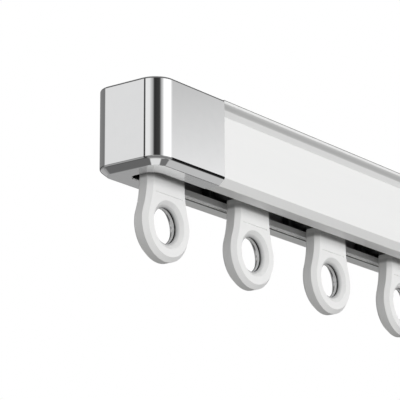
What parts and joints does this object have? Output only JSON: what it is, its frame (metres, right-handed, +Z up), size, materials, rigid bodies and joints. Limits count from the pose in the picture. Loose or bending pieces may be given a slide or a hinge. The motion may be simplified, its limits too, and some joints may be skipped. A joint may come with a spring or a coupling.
{
  "type": "curtain track",
  "caption": "Slim ceiling curtain track: slotted white profile, mirror-finish rounded end caps, and wheeled gliders with metal-lined eyelets that slide along it to carry a curtain.",
  "frame": {"origin": "middle of the track's top face, which lies against the ceiling", "axes": "+X along the track from the pictured end to the far end, +Z up, -Y towards the picture's camera"},
  "size_m": [0.5, 0.0242, 0.0487],
  "materials": {
    "white_coating": "satin",
    "mirror_plating": "polished",
    "glider_plastic": "satin",
    "eyelet_plating": "polished",
    "axle_steel": "satin",
    "wheel_plastic": "matte"
  },
  "bodies": {
    "rail": {"track_profile": "white_coating", "end_cap_left": "mirror_plating", "end_cap_right": "mirror_plating"},
    "glider_1": {"glider_1_body": "glider_plastic", "glider_1_eyelet": "eyelet_plating"},
    "glider_1_left_wheelset": {"glider_1_left_axle": "axle_steel", "glider_1_left_back_wheel": "wheel_plastic", "glider_1_left_front_wheel": "wheel_plastic"},
    "glider_1_right_wheelset": {"glider_1_right_axle": "axle_steel", "glider_1_right_back_wheel": "wheel_plastic", "glider_1_right_front_wheel": "wheel_plastic"},
    "glider_2": {"glider_2_body": "glider_plastic", "glider_2_eyelet": "eyelet_plating"},
    "glider_2_left_wheelset": {"glider_2_left_axle": "axle_steel", "glider_2_left_back_wheel": "wheel_plastic", "glider_2_left_front_wheel": "wheel_plastic"},
    "glider_2_right_wheelset": {"glider_2_right_axle": "axle_steel", "glider_2_right_back_wheel": "wheel_plastic", "glider_2_right_front_wheel": "wheel_plastic"},
    "glider_3": {"glider_3_body": "glider_plastic", "glider_3_eyelet": "eyelet_plating"},
    "glider_3_left_wheelset": {"glider_3_left_axle": "axle_steel", "glider_3_left_back_wheel": "wheel_plastic", "glider_3_left_front_wheel": "wheel_plastic"},
    "glider_3_right_wheelset": {"glider_3_right_axle": "axle_steel", "glider_3_right_back_wheel": "wheel_plastic", "glider_3_right_front_wheel": "wheel_plastic"},
    "glider_4": {"glider_4_body": "glider_plastic", "glider_4_eyelet": "eyelet_plating"},
    "glider_4_left_wheelset": {"glider_4_left_axle": "axle_steel", "glider_4_left_back_wheel": "wheel_plastic", "glider_4_left_front_wheel": "wheel_plastic"},
    "glider_4_right_wheelset": {"glider_4_right_axle": "axle_steel", "glider_4_right_back_wheel": "wheel_plastic", "glider_4_right_front_wheel": "wheel_plastic"},
    "glider_5": {"glider_5_body": "glider_plastic", "glider_5_eyelet": "eyelet_plating"},
    "glider_5_left_wheelset": {"glider_5_left_axle": "axle_steel", "glider_5_left_back_wheel": "wheel_plastic", "glider_5_left_front_wheel": "wheel_plastic"},
    "glider_5_right_wheelset": {"glider_5_right_axle": "axle_steel", "glider_5_right_back_wheel": "wheel_plastic", "glider_5_right_front_wheel": "wheel_plastic"},
    "glider_6": {"glider_6_body": "glider_plastic", "glider_6_eyelet": "eyelet_plating"},
    "glider_6_left_wheelset": {"glider_6_left_axle": "axle_steel", "glider_6_left_back_wheel": "wheel_plastic", "glider_6_left_front_wheel": "wheel_plastic"},
    "glider_6_right_wheelset": {"glider_6_right_axle": "axle_steel", "glider_6_right_back_wheel": "wheel_plastic", "glider_6_right_front_wheel": "wheel_plastic"}
  },
  "joints": [
    {"name": "glider_1_slide", "type": "slide", "parent": "rail", "child": "glider_1", "axis": [1, 0, 0], "range_m": [-0.0008, 0.019]},
    {"name": "glider_1_left_wheels", "type": "hinge", "parent": "glider_1", "child": "glider_1_left_wheelset", "pos_m": [-0.2385, 0, -0.0194], "axis": [0, 1, 0], "continuous": true},
    {"name": "glider_1_right_wheels", "type": "hinge", "parent": "glider_1", "child": "glider_1_right_wheelset", "pos_m": [-0.2281, 0, -0.0194], "axis": [0, 1, 0], "continuous": true},
    {"name": "glider_2_slide", "type": "slide", "parent": "rail", "child": "glider_2", "axis": [1, 0, 0], "range_m": [-0.019, 0.019]},
    {"name": "glider_2_left_wheels", "type": "hinge", "parent": "glider_2", "child": "glider_2_left_wheelset", "pos_m": [-0.1975, 0, -0.0194], "axis": [0, 1, 0], "continuous": true},
    {"name": "glider_2_right_wheels", "type": "hinge", "parent": "glider_2", "child": "glider_2_right_wheelset", "pos_m": [-0.1871, 0, -0.0194], "axis": [0, 1, 0], "continuous": true},
    {"name": "glider_3_slide", "type": "slide", "parent": "rail", "child": "glider_3", "axis": [1, 0, 0], "range_m": [-0.019, 0.019]},
    {"name": "glider_3_left_wheels", "type": "hinge", "parent": "glider_3", "child": "glider_3_left_wheelset", "pos_m": [-0.1565, 0, -0.0194], "axis": [0, 1, 0], "continuous": true},
    {"name": "glider_3_right_wheels", "type": "hinge", "parent": "glider_3", "child": "glider_3_right_wheelset", "pos_m": [-0.1461, 0, -0.0194], "axis": [0, 1, 0], "continuous": true},
    {"name": "glider_4_slide", "type": "slide", "parent": "rail", "child": "glider_4", "axis": [1, 0, 0], "range_m": [-0.019, 0.019]},
    {"name": "glider_4_left_wheels", "type": "hinge", "parent": "glider_4", "child": "glider_4_left_wheelset", "pos_m": [-0.1155, 0, -0.0194], "axis": [0, 1, 0], "continuous": true},
    {"name": "glider_4_right_wheels", "type": "hinge", "parent": "glider_4", "child": "glider_4_right_wheelset", "pos_m": [-0.1051, 0, -0.0194], "axis": [0, 1, 0], "continuous": true},
    {"name": "glider_5_slide", "type": "slide", "parent": "rail", "child": "glider_5", "axis": [1, 0, 0], "range_m": [-0.019, 0.019]},
    {"name": "glider_5_left_wheels", "type": "hinge", "parent": "glider_5", "child": "glider_5_left_wheelset", "pos_m": [-0.0745, 0, -0.0194], "axis": [0, 1, 0], "continuous": true},
    {"name": "glider_5_right_wheels", "type": "hinge", "parent": "glider_5", "child": "glider_5_right_wheelset", "pos_m": [-0.0641, 0, -0.0194], "axis": [0, 1, 0], "continuous": true},
    {"name": "glider_6_slide", "type": "slide", "parent": "rail", "child": "glider_6", "axis": [1, 0, 0], "range_m": [-0.019, 0.262]},
    {"name": "glider_6_left_wheels", "type": "hinge", "parent": "glider_6", "child": "glider_6_left_wheelset", "pos_m": [-0.0335, 0, -0.0194], "axis": [0, 1, 0], "continuous": true},
    {"name": "glider_6_right_wheels", "type": "hinge", "parent": "glider_6", "child": "glider_6_right_wheelset", "pos_m": [-0.0231, 0, -0.0194], "axis": [0, 1, 0], "continuous": true}
  ],
  "couplings": [
    {"joint": "glider_1_left_wheels", "follows": "glider_1_slide", "rad_per_m": 238.1},
    {"joint": "glider_1_right_wheels", "follows": "glider_1_slide", "rad_per_m": 238.1},
    {"joint": "glider_2_left_wheels", "follows": "glider_2_slide", "rad_per_m": 238.1},
    {"joint": "glider_2_right_wheels", "follows": "glider_2_slide", "rad_per_m": 238.1},
    {"joint": "glider_3_left_wheels", "follows": "glider_3_slide", "rad_per_m": 238.1},
    {"joint": "glider_3_right_wheels", "follows": "glider_3_slide", "rad_per_m": 238.1},
    {"joint": "glider_4_left_wheels", "follows": "glider_4_slide", "rad_per_m": 238.1},
    {"joint": "glider_4_right_wheels", "follows": "glider_4_slide", "rad_per_m": 238.1},
    {"joint": "glider_5_left_wheels", "follows": "glider_5_slide", "rad_per_m": 238.1},
    {"joint": "glider_5_right_wheels", "follows": "glider_5_slide", "rad_per_m": 238.1},
    {"joint": "glider_6_left_wheels", "follows": "glider_6_slide", "rad_per_m": 238.1},
    {"joint": "glider_6_right_wheels", "follows": "glider_6_slide", "rad_per_m": 238.1}
  ]
}
